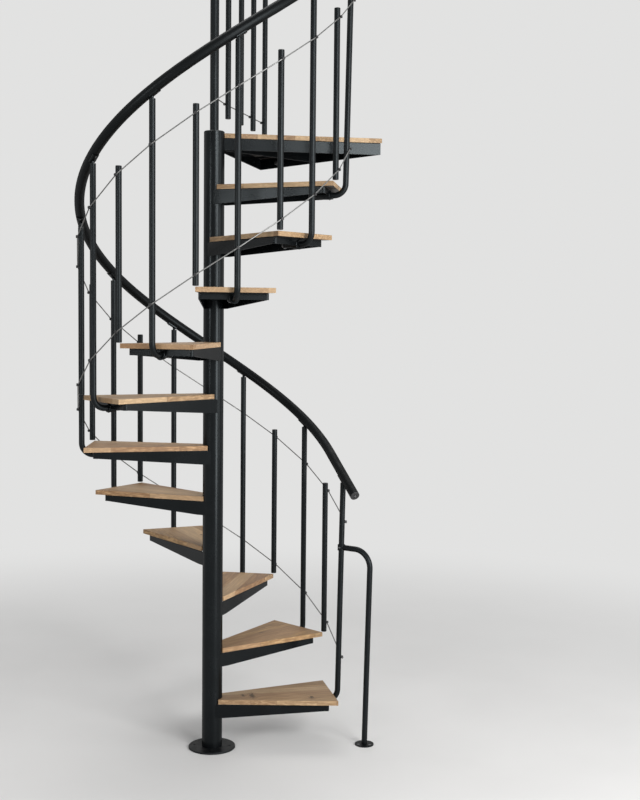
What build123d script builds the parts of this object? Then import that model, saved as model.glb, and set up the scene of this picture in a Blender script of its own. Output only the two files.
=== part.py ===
from build123d import *
import os
from math import acos, cos, degrees, hypot, radians, sin, tan

# Spiral staircase: a column of stacked sleeves carries eleven oak treads on bent steel brackets
# and a triangular landing. Millimetres, +Z up. The origin is the column's axis at floor level,
# and +X points from the column to the landing's outer edge, where the landing meets the floor slab.

# Rhythm of the flight
RISE = 225.0                # from one tread's top to the next
TURN = 34.0                 # degrees from one tread to the next
TREADS = 11
LANDING_SHARE = 2.0         # the landing takes the angle of this many treads
LANDING_AZIMUTH = 0.0       # middle of the landing

# Column
COLUMN_R = 44.5
SLEEVE_WALL = 3.5
CORE_R = 30.0
CORE_WALL = 4.0
CORE_FIT = 0.2              # running clearance between the core and what is threaded on it
HUB_HEIGHT = 58.0
LIP_HEIGHT = 4.0            # centring lip of a hub inside the next sleeve
CAP_PROUD = 6.0             # how far the column's cap stands above the landing
CAP_CHAMFER = 3.0
POST_SOCKET = 10.0          # depth of the cap's socket for the landing post

# Base plate
BASE_R = 103.0
BASE_T = 8.0
BASE_EDGE = 2.0
BASE_HOLE_R = 6.5
BASE_HOLES = 4
BASE_HOLE_CIRCLE_R = 78.0

# Oak treads
WOOD_T = 20.0
WOOD_EDGE = 1.5             # rounding of the boards' top edges
TREAD_CLEARANCE = 20.0      # from a tread's outer edge to the balusters
TREAD_OUTER_WIDTH = 321.0
TREAD_INNER_REACH = 22.0
TREAD_INNER_WIDTH = 90.0
WOOD_FIT = 0.4              # clearance between a board's notch and the column

# Tread brackets
STEEL_T = 4.0
SHADOW_GAP = 3.0            # between a board and its bracket's upper edge
BRACKET_SETBACK = 35.5      # from the board's outer edge
BRACKET_RECESS = 9.0        # from the board's side edges
BRACKET_TOE_DEPTH = 25.0
BRACKET_CORNER_R = 10.0
STRAP_WIDTH = 30.0
STRAP_PLACES = (0.28, 0.84)     # shares of the bracket's reach
STRAP_BITE = 1.0            # how deep a strap is let into the steel's upper edge
BOSS_R = 18.0
BOSS_LENGTH = 34.0
BOSS_PROUD = 7.0            # in front of the end plate

# Balusters
TUBE_R = 12.5
RAIL_REACH = 571.0          # from the column's axis to the balusters and the handrail
LEG_DROP = 45.0             # from a tread's top down to the axis of the leg below it
LEG_INSIDE = 78.0           # length of a leg inside its bracket's end plate
LEG_BEND_R = 50.0
TUBE_FIT = 0.3              # clearance of a tube in a hole
SHORT_FOOT = 5.0
SHORT_TOP = 697.0
SHORT_LEAD = 16.3           # degrees from the tread's middle to its nosing corner

# Handrail
HANDRAIL_R = 21.0
HANDRAIL_HEIGHT = 982.0     # axis above the tread's top
FLARE = 16.0                # how far the first and last balusters lean out to the straight ends
END_OVERHANG = 115.0        # straight end beyond the first and last balusters
SADDLE_T = 3.0
SADDLE_LENGTH = 46.0
SADDLE_WRAP = 35.0          # half angle of the saddle around the handrail
SADDLE_FIT = 0.5
SADDLE_ROOM = 4.5           # between a long baluster's top and the handrail
SADDLE_PLUG_T = 3.0
SADDLE_STEM_R = 6.0
CAP_T = 5.0
SCREW_HEAD_R = 4.5
SCREW_HEAD_PROUD = 2.0
SCREW_BITE = 0.5            # how deep the head sits in the cap

# Cables, which run over the balusters' outer sides
CABLE_R = 2.5
CABLE_GAP = 0.5             # between a cable and the tubes it passes
CABLE_BEND_R = 20.0
CABLE_TAIL = 10.0           # beyond the last clip
UPPER_CABLE = 770.0         # above the line through the treads' tops
LOWER_CABLE = 152.0
CLIP_R = 6.0
CLIP_PROUD = 9.0            # how far a clip stands out from its tube
CLIP_HOLE_R = 3.5
CLIP_EDGE = 1.2
POST_GRIP = 8.0             # how deep the landing's cables sit in the column's post

# Bolts that hold the legs
WASHER_R = 15.0
WASHER_T = 3.0
NUT_ACROSS = 19.0
NUT_T = 9.0

# Starter post in front of the first baluster
STARTER_HEIGHT = 879.0
STARTER_REACH = 134.0       # from the first baluster to the foot
STARTER_HEADING = -46.5     # degrees from the first tread's azimuth
STARTER_LEAN = 20.0
STARTER_BEND_R = 78.0
STARTER_RING_R = 17.0
STARTER_RING_HEIGHT = 26.0
FLANGE_R = 42.0
FLANGE_T = 5.0
FLANGE_HOLE_R = 3.5
FLANGE_HOLES = 3
FLANGE_HOLE_CIRCLE_R = 29.0

# Landing
LANDING_REACH = 738.0       # from the axis to the two outer corners
LANDING_RECESS = 3.0
LANDING_DEPTH = 48.0
LANDING_PLATE_T = 5.0
LANDING_STRAPS = (0.24, 0.5, 0.9)   # shares of the way to the outer edge
SLAB_HOLE_R = 6.5
SLAB_HOLE_SPACING = 560.0

# Landing balustrade
LANDING_POST_R = 19.0
GUARD_AZIMUTH = 31.4        # from the landing's middle, just inside its far edge
GUARD_SETBACK = 41.0        # from the landing's outer corner to the end post
GUARD_BARS = 3
GUARD_BAR_FOOT = 88.0
GUARD_BAR_TOP = 815.0
GUARD_FLANGE_R = 30.0
GUARD_OVERHANG = 40.0

# Values that follow from the dimensions above
LANDING_TOP = (TREADS + 1) * RISE
FIRST_AZIMUTH = LANDING_AZIMUTH - TURN * (TREADS - 0.5 + LANDING_SHARE / 2)
STEEL_TOP = -(WOOD_T + SHADOW_GAP)      # from a tread's top down to its bracket's upper edge
SPIRAL_SLOPE = RISE / (radians(TURN) * RAIL_REACH)
TREAD_REACH = RAIL_REACH - TUBE_R - TREAD_CLEARANCE
BRACKET_REACH = TREAD_REACH - BRACKET_SETBACK
LEG_END_REACH = BRACKET_REACH - LEG_INSIDE
RAIL_BELOW = HANDRAIL_R * hypot(1, SPIRAL_SLOPE) + TUBE_R * SPIRAL_SLOPE    # axis to lowest edge on a tube
LONG_TOP = HANDRAIL_HEIGHT - RAIL_BELOW - SADDLE_ROOM
GUARD_LENGTH = LANDING_REACH - GUARD_SETBACK
CABLE_OFFSET = TUBE_R + CABLE_GAP + CABLE_R     # from a tube's axis to a cable's
ON_BASE = (Align.CENTER, Align.CENTER, Align.MIN)


def azimuth(tread):
    """Direction of a tread's middle line, in degrees; tread 1 is the lowest."""
    return FIRST_AZIMUTH + TURN * (tread - 1)


def tread_top(tread):
    return RISE * tread


def polar(radius, angle, height=0.0):
    """Point at a distance from the column's axis, in a direction in degrees."""
    return Vector(radius * cos(radians(angle)), radius * sin(radians(angle)), height)


def spiral_height(angle):
    """Height of the line through the treads' tops in any direction along the flight."""
    return RISE * (1 + (angle - FIRST_AZIMUTH) / TURN)


def on_tread(shape, tread):
    """Turn and lift a shape drawn with its radius along +X and the tread's top at height 0."""
    return Pos(0, 0, tread_top(tread)) * Rot(0, 0, azimuth(tread)) * shape


def rod(start, end, radius):
    """Round bar between two points."""
    start = Vector(*start)
    along = Vector(*end) - start
    plane = Plane(origin=start, z_dir=along.normalized())
    return plane * Cylinder(radius, along.length, align=ON_BASE)


def disc(radius, thickness, height=0.0):
    """Upright cylinder on the column's axis, from a height upwards."""
    return Pos(0, 0, height) * Cylinder(radius, thickness, align=ON_BASE)


def ring(outer, inner, thickness, height=0.0):
    return disc(outer, thickness, height) - disc(inner, thickness, height)


def bent_tube(points, radius, bends):
    """Round bar along a path of straight runs with rounded corners."""
    path = FilletPolyline(*points, radius=bends)
    section = Plane(origin=path @ 0, z_dir=path % 0) * Circle(radius)
    return sweep(section, path=path)


def single(shape):
    """The one solid of a fused shape."""
    solids = shape.solids()
    return solids[0] if len(solids) == 1 else shape


# Column

def base_plate():
    plate = disc(BASE_R, BASE_T)
    plate = fillet(plate.edges().group_by(Axis.Z)[-1], BASE_EDGE)
    holes = PolarLocations(BASE_HOLE_CIRCLE_R, BASE_HOLES, start_angle=45)
    for place in holes:
        plate -= place * Cylinder(BASE_HOLE_R, 4 * BASE_T)
    spigot_r = CORE_R - CORE_WALL - CORE_FIT
    return single(plate + ring(spigot_r, spigot_r - CORE_WALL, 3 * BASE_T))


def column_core():
    top = LANDING_TOP + CAP_PROUD - POST_SOCKET - STEEL_T
    return ring(CORE_R, CORE_R - CORE_WALL, top - BASE_T, BASE_T)


def hub(height):
    """Ring on the core with a lip at each end that centres the sleeves; its top is at height 0."""
    lip_r = COLUMN_R - SLEEVE_WALL - CORE_FIT
    body = disc(COLUMN_R, height, -height) + disc(lip_r, height + 2 * LIP_HEIGHT, -height - LIP_HEIGHT)
    return body - disc(CORE_R + CORE_FIT, 2 * height, -1.5 * height)


def column_sleeves():
    """One sleeve below each hub, from the base plate up to the landing."""
    sleeves = []
    for step in range(1, TREADS + 2):
        low = BASE_T if step == 1 else tread_top(step - 1) + STEEL_TOP
        high = tread_top(step) + STEEL_TOP - HUB_HEIGHT
        sleeves.append(ring(COLUMN_R, COLUMN_R - SLEEVE_WALL, high - low, low))
    return Compound(children=sleeves)


def column_cap():
    low = LANDING_TOP + STEEL_TOP
    high = LANDING_TOP + CAP_PROUD
    lip_room = COLUMN_R - SLEEVE_WALL
    cap = chamfer(disc(COLUMN_R, high - low, low).edges().group_by(Axis.Z)[-1], CAP_CHAMFER)
    core_top = high - POST_SOCKET - STEEL_T
    cap -= disc(CORE_R + CORE_FIT, core_top - low, low)
    cap -= disc(lip_room, LIP_HEIGHT + CORE_FIT, low)
    return cap - disc(LANDING_POST_R + CORE_FIT, POST_SOCKET, high - POST_SOCKET)


# Treads

def edge_half_width(reach):
    """Half the width of a tread's board at a distance from the column's axis."""
    share = (reach - TREAD_INNER_REACH) / (TREAD_REACH - TREAD_INNER_REACH)
    return (TREAD_INNER_WIDTH + share * (TREAD_OUTER_WIDTH - TREAD_INNER_WIDTH)) / 2


def tread_board():
    """Tapered oak board, notched round the column."""
    inner, outer = TREAD_INNER_WIDTH / 2, TREAD_OUTER_WIDTH / 2
    outline = Polyline((TREAD_INNER_REACH, -inner), (TREAD_REACH, -outer), (TREAD_REACH, outer),
                       (TREAD_INNER_REACH, inner), close=True)
    board = extrude(make_face(outline), amount=-WOOD_T)
    board = fillet(board.edges().group_by(Axis.Z)[-1], WOOD_EDGE)
    return board - Cylinder(COLUMN_R + WOOD_FIT, 4 * WOOD_T)


def tread_bracket():
    """Hub and one bent strip: two tapered side plates joined by a shallow end plate."""
    toe = edge_half_width(BRACKET_REACH) - BRACKET_RECESS
    heel = COLUMN_R - STEEL_T / 2
    outline = Polyline((0, -heel), (BRACKET_REACH, -toe), (BRACKET_REACH, toe), (0, heel), close=True)
    plan = make_face(outline)
    plan = fillet(plan.vertices().group_by(Axis.X)[-1], BRACKET_CORNER_R)
    hollow = offset(plan, amount=-STEEL_T)
    hollow += Pos(-BRACKET_CORNER_R, 0) * Rectangle(4 * BRACKET_CORNER_R, 2 * heel - 2 * STEEL_T)
    strip = extrude(plan - hollow, amount=-HUB_HEIGHT)
    toe_bottom = -BRACKET_TOE_DEPTH
    side = Polyline((0, 0), (BRACKET_REACH, 0), (BRACKET_REACH, toe_bottom),
                    (BRACKET_REACH - 2 * BRACKET_CORNER_R, toe_bottom), (COLUMN_R, -HUB_HEIGHT),
                    (0, -HUB_HEIGHT), close=True)
    strip &= extrude(Plane.XZ * make_face(side), amount=TREAD_OUTER_WIDTH / 2, both=True)
    leg_height = -LEG_DROP - STEEL_TOP
    boss_end = BRACKET_REACH + BOSS_PROUD
    frame = strip + rod((boss_end - BOSS_LENGTH, 0, leg_height), (boss_end, 0, leg_height), BOSS_R)
    for share in STRAP_PLACES:
        reach = share * BRACKET_REACH
        half = heel + (toe - heel) * share - STEEL_T / 2
        strap = Box(STRAP_WIDTH, 2 * half, SHADOW_GAP + STRAP_BITE, align=ON_BASE)
        frame += Pos(reach, 0, -STRAP_BITE) * strap
    frame -= rod((BRACKET_REACH / 2, 0, leg_height), (BRACKET_REACH + 2 * BOSS_LENGTH, 0, leg_height),
                 TUBE_R + TUBE_FIT)
    frame -= disc(COLUMN_R - STEEL_T, 2 * HUB_HEIGHT, -1.5 * HUB_HEIGHT)
    return Pos(0, 0, STEEL_TOP) * single(frame + hub(HUB_HEIGHT))


# Landing

def landing_outline(inset):
    """Triangle with its apex on the column's axis, drawn in from the board's edge."""
    half = LANDING_SHARE * TURN / 2
    face = make_face(Polyline((0, 0), polar(LANDING_REACH, -half), polar(LANDING_REACH, half), close=True))
    return offset(face, amount=-inset, kind=Kind.INTERSECTION) if inset else face


def landing_edge_reach():
    """From the column's axis to the board's outer edge, square to that edge."""
    return LANDING_REACH * cos(radians(LANDING_SHARE * TURN / 2))


def landing_board():
    board = extrude(landing_outline(0.0), amount=-WOOD_T)
    board = fillet(board.edges().group_by(Axis.Z)[-1], WOOD_EDGE)
    board -= Cylinder(COLUMN_R + WOOD_FIT, 4 * WOOD_T)
    return Pos(0, 0, LANDING_TOP) * Rot(0, 0, LANDING_AZIMUTH) * board


def landing_frame():
    """Three upright plates, a middle rib and flat straps, welded to the top hub."""
    outline = landing_outline(LANDING_RECESS)
    walls = outline - landing_outline(LANDING_RECESS + LANDING_PLATE_T)
    frame = extrude(walls, amount=-LANDING_DEPTH)
    outer = landing_edge_reach() - LANDING_RECESS
    half = radians(LANDING_SHARE * TURN / 2)
    inset = (LANDING_RECESS + LANDING_PLATE_T / 2) / cos(half)
    low_corner = (Align.MIN, Align.CENTER, Align.MAX)
    frame += Box(outer - LANDING_PLATE_T / 2, LANDING_PLATE_T, LANDING_DEPTH, align=low_corner)
    for share in LANDING_STRAPS:
        reach = share * outer
        length = 2 * (reach * tan(half) - inset) - STRAP_WIDTH * tan(half)
        strap = Box(STRAP_WIDTH, length, SHADOW_GAP + STRAP_BITE, align=ON_BASE)
        frame += Pos(reach, 0, -STRAP_BITE) * strap
    for side in (-1, 1):
        place = Pos(outer, side * SLAB_HOLE_SPACING / 2, -LANDING_DEPTH / 2) * Rot(0, 90, 0)
        frame -= place * Cylinder(SLAB_HOLE_R, 6 * LANDING_PLATE_T)
    frame -= disc(COLUMN_R - STEEL_T, 4 * HUB_HEIGHT, -2 * HUB_HEIGHT)
    frame = single(frame + hub(HUB_HEIGHT))
    return Pos(0, 0, LANDING_TOP + STEEL_TOP) * Rot(0, 0, LANDING_AZIMUTH) * frame


# Balusters and cables

def lean(tread):
    """The flight's first and last balusters lean out to the handrail's straight ends."""
    return FLARE if tread in (1, TREADS) else 0.0


def long_baluster_axis(tread, height):
    """Point on a long baluster's axis at a height above its tread."""
    foot = -LEG_DROP
    share = (height - foot) / (LONG_TOP - foot)
    return polar(RAIL_REACH + lean(tread) * share, azimuth(tread), tread_top(tread) + height)


def crossings(height):
    """Where a cable passes the flight's balusters: a point on each axis and the way out from it."""
    marks = [(long_baluster_axis(1, height), polar(1.0, azimuth(1)))]
    for tread in range(2, TREADS + 1):
        angle = azimuth(tread) - SHORT_LEAD
        marks.append((polar(RAIL_REACH, angle, spiral_height(angle) + height), polar(1.0, angle)))
        marks.append((long_baluster_axis(tread, height), polar(1.0, azimuth(tread))))
    return marks


def beside(marks):
    """The cable's own points, on the outer sides of the tubes that it passes."""
    return [axis + out * CABLE_OFFSET for axis, out in marks]


def direction_at(points, index):
    """Mean direction of a row of points at one of them."""
    ahead = points[min(index + 1, len(points) - 1)] - points[index]
    behind = points[index] - points[max(index - 1, 0)]
    ends = [step.normalized() for step in (ahead, behind) if step.length > 0]
    return sum(ends, Vector(0, 0, 0)).normalized()


def long_balusters():
    """J-shaped tubes: each runs down past its tread's outer edge and turns in below the board."""
    tubes = []
    for tread in range(1, TREADS + 1):
        top = RAIL_REACH + lean(tread)
        tube = bent_tube([(LEG_END_REACH, 0, -LEG_DROP), (RAIL_REACH, 0, -LEG_DROP), (top, 0, LONG_TOP)],
                         TUBE_R, LEG_BEND_R)
        tubes.append(on_tread(tube, tread))
    return Compound(children=tubes)


def short_balusters():
    """Straight tubes that hang on the two cables at each tread's nosing corner."""
    tubes = []
    for tread in range(2, TREADS + 1):
        angle = azimuth(tread) - SHORT_LEAD
        foot = polar(RAIL_REACH, angle, tread_top(tread) + SHORT_FOOT)
        tubes.append(rod(foot, foot + Vector(0, 0, SHORT_TOP - SHORT_FOOT), TUBE_R))
    return Compound(children=tubes)


def cable(marks):
    """Taut cable that turns a little in every clip and ends just past the outer two."""
    points = beside(marks)
    first = points[0] - direction_at(points, 0) * CABLE_TAIL
    last = points[-1] + direction_at(points, len(points) - 1) * CABLE_TAIL
    return bent_tube([first] + points[1:-1] + [last], CABLE_R, CABLE_BEND_R)


def clip(axis, out, point, along):
    """Arch on a tube's outer side that holds the cable which runs through it."""
    head = Cylinder(CLIP_R, TUBE_R + CLIP_PROUD, align=ON_BASE)
    head = fillet(head.edges().group_by(Axis.Z)[-1], CLIP_EDGE)
    head = Plane(origin=axis, z_dir=out) * head
    up = Vector(0, 0, 1)
    head -= rod(axis - up * 2 * CLIP_R, axis + up * 2 * CLIP_R, TUBE_R + TUBE_FIT)
    return single(head - rod(point - along * 2 * CLIP_R, point + along * 2 * CLIP_R, CLIP_HOLE_R))


def clips(marks, points):
    """One clip at each mark; the last of the cable's own points lie at the marks."""
    first = len(points) - len(marks)
    return [clip(axis, out, points[first + index], direction_at(points, first + index))
            for index, (axis, out) in enumerate(marks)]


def cable_clips():
    """Clips that hold all four cables on the tubes they pass."""
    held = []
    for height in (LOWER_CABLE, UPPER_CABLE):
        flight, guard = crossings(height), guard_crossings(height)
        held += clips(flight, beside(flight))
        held += clips(guard, [guard_point(0, height)] + beside(guard))
    return Compound(children=held)


def leg_bolts():
    """Washer and hexagon head on the inner end of each leg."""
    bolts = []
    for tread in range(1, TREADS + 1):
        washer = rod((LEG_END_REACH - WASHER_T, 0, -LEG_DROP), (LEG_END_REACH, 0, -LEG_DROP), WASHER_R)
        face = Plane(origin=(LEG_END_REACH - WASHER_T, 0, -LEG_DROP), z_dir=(-1, 0, 0))
        head = extrude(face * RegularPolygon(NUT_ACROSS / 2, 6, major_radius=False), amount=NUT_T)
        bolts.append(on_tread(single(washer + head), tread))
    return Compound(children=bolts)


# Handrail

# From an end baluster to where the straight end springs off the helix
SPRING_ANGLE = degrees(acos(RAIL_REACH / (RAIL_REACH + FLARE)))
SPIRAL_START = azimuth(1) + SPRING_ANGLE
SPIRAL_END = azimuth(TREADS) - SPRING_ANGLE
END_RUN = RAIL_REACH * tan(radians(SPRING_ANGLE)) + END_OVERHANG


def rail_direction(angle):
    """Unit vector up along the handrail where its plan direction stands at an angle."""
    level = polar(1.0, angle + 90)
    return Vector(level.X, level.Y, SPIRAL_SLOPE).normalized()


def rail_point(angle):
    return polar(RAIL_REACH, angle, spiral_height(angle) + HANDRAIL_HEIGHT)


def rail_end(angle, way):
    """End of a straight stretch that leaves the spiral at an angle, up (1) or down (-1)."""
    level = polar(END_RUN, angle + 90)
    return rail_point(angle) + Vector(level.X, level.Y, SPIRAL_SLOPE * END_RUN) * way


def rail_over(tread):
    """Handrail's axis above a long baluster, and its direction there."""
    if tread == 1:
        spring, way = SPIRAL_START, -1
    elif tread == TREADS:
        spring, way = SPIRAL_END, 1
    else:
        return rail_point(azimuth(tread)), rail_direction(azimuth(tread))
    run = END_RUN - END_OVERHANG
    level = polar(run, spring + 90)
    point = rail_point(spring) + Vector(level.X, level.Y, SPIRAL_SLOPE * run) * way
    return point, rail_direction(spring)


def handrail():
    """Round rail: a helix with a straight end at the foot and at the top."""
    sweep_angle = SPIRAL_END - SPIRAL_START
    climb = spiral_height(SPIRAL_END) - spiral_height(SPIRAL_START)
    helix = Helix(pitch=climb * 360 / sweep_angle, height=climb, radius=RAIL_REACH)
    helix = Pos(0, 0, rail_point(SPIRAL_START).Z) * Rot(0, 0, SPIRAL_START) * helix
    section = Plane(origin=helix @ 0, z_dir=helix % 0) * Circle(HANDRAIL_R)
    spiral = sweep(section, path=helix, is_frenet=True)
    foot = rod(rail_end(SPIRAL_START, -1), rail_point(SPIRAL_START), HANDRAIL_R)
    head = rod(rail_point(SPIRAL_END), rail_end(SPIRAL_END, 1), HANDRAIL_R)
    return single(spiral + foot + head)


def end_cap(point, along):
    """Domed plug on a handrail's end, with the head of its screw."""
    plane = Plane(origin=point, z_dir=along)
    cap = Cylinder(HANDRAIL_R, CAP_T, align=ON_BASE)
    cap = fillet(cap.edges().group_by(Axis.Z)[-1], CAP_T / 2)
    head = Cylinder(SCREW_HEAD_R, SCREW_HEAD_PROUD + SCREW_BITE, align=ON_BASE)
    return plane * single(cap + Pos(0, 0, CAP_T - SCREW_BITE) * head)


def saddle(rail_axis, along, tube_top, tube_axis, tube_radius):
    """Plug on a tube's top, a short stem, and a curved plate under the handrail."""
    plug_plane = Plane(origin=tube_top, z_dir=tube_axis)
    plug = plug_plane * Cylinder(tube_radius, SADDLE_PLUG_T, align=ON_BASE)
    stem = rod(tube_top, tube_top + tube_axis * (rail_axis - tube_top).length, SADDLE_STEM_R)
    inner = HANDRAIL_R + SADDLE_FIT
    outer = inner + SADDLE_T
    half = SADDLE_LENGTH / 2
    shell = rod(rail_axis - along * half, rail_axis + along * half, outer)
    room = rod(rail_axis - along * SADDLE_LENGTH, rail_axis + along * SADDLE_LENGTH, inner)
    side = along.cross(Vector(0, 0, 1)).normalized()
    down = along.cross(side).normalized()
    keep = Plane(origin=rail_axis + down * outer, x_dir=side, z_dir=down)
    width = 2 * outer * sin(radians(SADDLE_WRAP))
    shell &= keep * Box(width, 3 * SADDLE_LENGTH, 2 * outer)
    return single((plug + stem + shell) - room)


def handrail_saddles():
    saddles = []
    for tread in range(1, TREADS + 1):
        axis_point, along = rail_over(tread)
        top = long_baluster_axis(tread, LONG_TOP)
        tube_axis = (top - long_baluster_axis(tread, 0.0)).normalized()
        saddles.append(saddle(axis_point, along, top, tube_axis, TUBE_R))
    return Compound(children=saddles)


# Starter post

def starter_post():
    """Bent tube from a ring on the first baluster to a flange on the floor."""
    held = STARTER_HEIGHT - tread_top(1)
    start = long_baluster_axis(1, held)
    tube_axis = (long_baluster_axis(1, LONG_TOP) - start).normalized()
    heading = azimuth(1) + STARTER_HEADING
    foot = polar(STARTER_REACH, heading) + Vector(start.X, start.Y, FLANGE_T / 2)
    corner = polar(STARTER_REACH + STARTER_LEAN, heading) + start
    tube = bent_tube([start, corner, foot], TUBE_R, STARTER_BEND_R)
    collar = Plane(origin=start, z_dir=tube_axis) * Cylinder(STARTER_RING_R, STARTER_RING_HEIGHT)
    bore = Plane(origin=start, z_dir=tube_axis) * Cylinder(TUBE_R + TUBE_FIT, 3 * STARTER_RING_HEIGHT)
    flange = disc(FLANGE_R, FLANGE_T)
    for place in PolarLocations(FLANGE_HOLE_CIRCLE_R, FLANGE_HOLES):
        flange -= place * Cylinder(FLANGE_HOLE_R, 4 * FLANGE_T)
    flange = Pos(foot.X, foot.Y, 0) * Rot(0, 0, heading) * flange
    return single(tube + collar + flange - bore)


# Landing balustrade

def guard_point(distance, height):
    return polar(distance, LANDING_AZIMUTH + GUARD_AZIMUTH, LANDING_TOP + height)


def guard_crossings(height):
    """Where a landing cable passes the bars and the end post, as for the flight."""
    out = polar(1.0, LANDING_AZIMUTH + GUARD_AZIMUTH + 90)
    reaches = [GUARD_LENGTH * index / (GUARD_BARS + 1) for index in range(1, GUARD_BARS + 2)]
    return [(guard_point(reach, height), out) for reach in reaches]


def guard_cable_start(height, depth):
    """Point of a landing cable at a depth in the column's post, and the cable's direction there."""
    axis = guard_point(0, height)
    along = (beside(guard_crossings(height))[0] - axis).normalized()
    return axis + along * (LANDING_POST_R - depth), along


def landing_post():
    low = CAP_PROUD - POST_SOCKET
    post = rod(guard_point(0, low), guard_point(0, LONG_TOP), LANDING_POST_R)
    for height in (LOWER_CABLE, UPPER_CABLE):
        start, along = guard_cable_start(height, POST_GRIP + TUBE_FIT)
        post -= rod(start, start + along * 2 * LANDING_POST_R, CABLE_R + TUBE_FIT)
    return post


def guard_end_post():
    post = rod(guard_point(GUARD_LENGTH, FLANGE_T / 2), guard_point(GUARD_LENGTH, LONG_TOP), TUBE_R)
    flange = ring(GUARD_FLANGE_R, TUBE_R / 2, FLANGE_T)
    for place in PolarLocations((GUARD_FLANGE_R + TUBE_R) / 2, FLANGE_HOLES):
        flange -= place * Cylinder(FLANGE_HOLE_R, 4 * FLANGE_T)
    return single(post + Location(guard_point(GUARD_LENGTH, 0)) * flange)


def guard_bars():
    """Short bars that hang on the landing's two cables."""
    bars = []
    for index in range(1, GUARD_BARS + 1):
        reach = GUARD_LENGTH * index / (GUARD_BARS + 1)
        bars.append(rod(guard_point(reach, GUARD_BAR_FOOT), guard_point(reach, GUARD_BAR_TOP), TUBE_R))
    return Compound(children=bars)


def guard_cables():
    """Cables from the column's post over the bars to the end post."""
    cables = []
    for height in (LOWER_CABLE, UPPER_CABLE):
        start, _ = guard_cable_start(height, POST_GRIP)
        points = [start] + beside(guard_crossings(height))
        end = points[-1] + direction_at(points, len(points) - 1) * CABLE_TAIL
        cables.append(bent_tube([start, points[1], end], CABLE_R, CABLE_BEND_R))
    return Compound(children=cables)


def guard_handrail():
    start = guard_point(-GUARD_OVERHANG, HANDRAIL_HEIGHT)
    return rod(start, guard_point(GUARD_LENGTH + GUARD_OVERHANG, HANDRAIL_HEIGHT), HANDRAIL_R)


def guard_saddles():
    along = (guard_point(1, 0) - guard_point(0, 0)).normalized()
    up = Vector(0, 0, 1)
    saddles = []
    for distance, radius in ((0, LANDING_POST_R), (GUARD_LENGTH, TUBE_R)):
        top = guard_point(distance, LONG_TOP)
        saddles.append(saddle(guard_point(distance, HANDRAIL_HEIGHT), along, top, up, radius))
    return Compound(children=saddles)


def handrail_caps():
    guard_along = (guard_point(1, 0) - guard_point(0, 0)).normalized()
    return Compound(children=[
        end_cap(rail_end(SPIRAL_START, -1), rail_direction(SPIRAL_START) * -1),
        end_cap(rail_end(SPIRAL_END, 1), rail_direction(SPIRAL_END)),
        end_cap(guard_point(-GUARD_OVERHANG, HANDRAIL_HEIGHT), guard_along * -1),
        end_cap(guard_point(GUARD_LENGTH + GUARD_OVERHANG, HANDRAIL_HEIGHT), guard_along),
    ])


def save(name, shape):
    shape.label = name
    export_step(shape, "parts/" + name + ".step")
    print(name, "solids", len(shape.solids()), "litres %.3f" % (shape.volume / 1e6))


def main():
    os.makedirs("parts", exist_ok=True)
    save("base_plate", base_plate())
    save("column_core", column_core())
    save("column_sleeves", column_sleeves())
    save("column_cap", column_cap())
    bracket = tread_bracket()
    board = tread_board()
    for tread in range(1, TREADS + 1):
        save("tread_bracket_%02d" % tread, on_tread(bracket, tread))
        save("wood_tread_%02d" % tread, on_tread(board, tread))
    save("landing_frame", landing_frame())
    save("landing_board", landing_board())
    save("long_balusters", long_balusters())
    save("short_balusters", short_balusters())
    save("leg_bolts", leg_bolts())
    save("upper_cable", cable(crossings(UPPER_CABLE)))
    save("lower_cable", cable(crossings(LOWER_CABLE)))
    save("cable_clips", cable_clips())
    save("handrail", handrail())
    save("handrail_saddles", handrail_saddles())
    save("handrail_caps", handrail_caps())
    save("starter_post", starter_post())
    save("landing_post", landing_post())
    save("guard_end_post", guard_end_post())
    save("guard_bars", guard_bars())
    save("guard_cables", guard_cables())
    save("guard_handrail", guard_handrail())
    save("guard_saddles", guard_saddles())


main()
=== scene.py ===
"""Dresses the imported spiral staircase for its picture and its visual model.

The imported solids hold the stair's shape. This script gives each of them its finish, adds the rope,
screws, welds and plugs that show close up, and sets the floor, the lamps and the camera. Lengths
are metres in the stair's own frame: the column stands on Z, the floor is at height 0, and +X points
from the column to the landing's outer edge. Directions on plan are degrees from +X.
"""
import logging
import math
from dataclasses import dataclass, field
from enum import Enum
from functools import cached_property
from typing import Sequence

import bmesh
import bpy
from mathutils import Matrix, Vector


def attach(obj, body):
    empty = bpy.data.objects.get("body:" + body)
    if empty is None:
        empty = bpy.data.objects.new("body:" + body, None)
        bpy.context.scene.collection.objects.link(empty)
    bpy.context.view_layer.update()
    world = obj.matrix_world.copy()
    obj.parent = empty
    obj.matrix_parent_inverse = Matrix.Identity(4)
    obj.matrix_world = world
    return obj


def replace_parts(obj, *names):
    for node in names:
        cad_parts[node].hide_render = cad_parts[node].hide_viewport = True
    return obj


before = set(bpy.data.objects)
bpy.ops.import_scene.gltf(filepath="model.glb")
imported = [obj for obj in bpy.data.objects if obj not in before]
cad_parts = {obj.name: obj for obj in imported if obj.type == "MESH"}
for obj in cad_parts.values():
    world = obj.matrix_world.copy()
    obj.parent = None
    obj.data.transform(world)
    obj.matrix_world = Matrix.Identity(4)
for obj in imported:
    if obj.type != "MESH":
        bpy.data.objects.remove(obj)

log = logging.getLogger("staircase")

Colour = tuple[float, float, float]
Socket = bpy.types.NodeSocket
Value = Socket | float
Tint = Socket | Colour
Feed = Socket | float | Sequence[float]
UP = Vector((0.0, 0.0, 1.0))
OUT = Vector((1.0, 0.0, 0.0))


class Slot(Enum):
    """Names of the record's material slots."""

    STEEL = "painted_steel"
    RAIL = "handrail_black"
    OAK = "oak"
    ROPE = "wire_rope"
    PLASTIC = "black_plastic"
    ZINC = "zinc_bolts"


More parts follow.
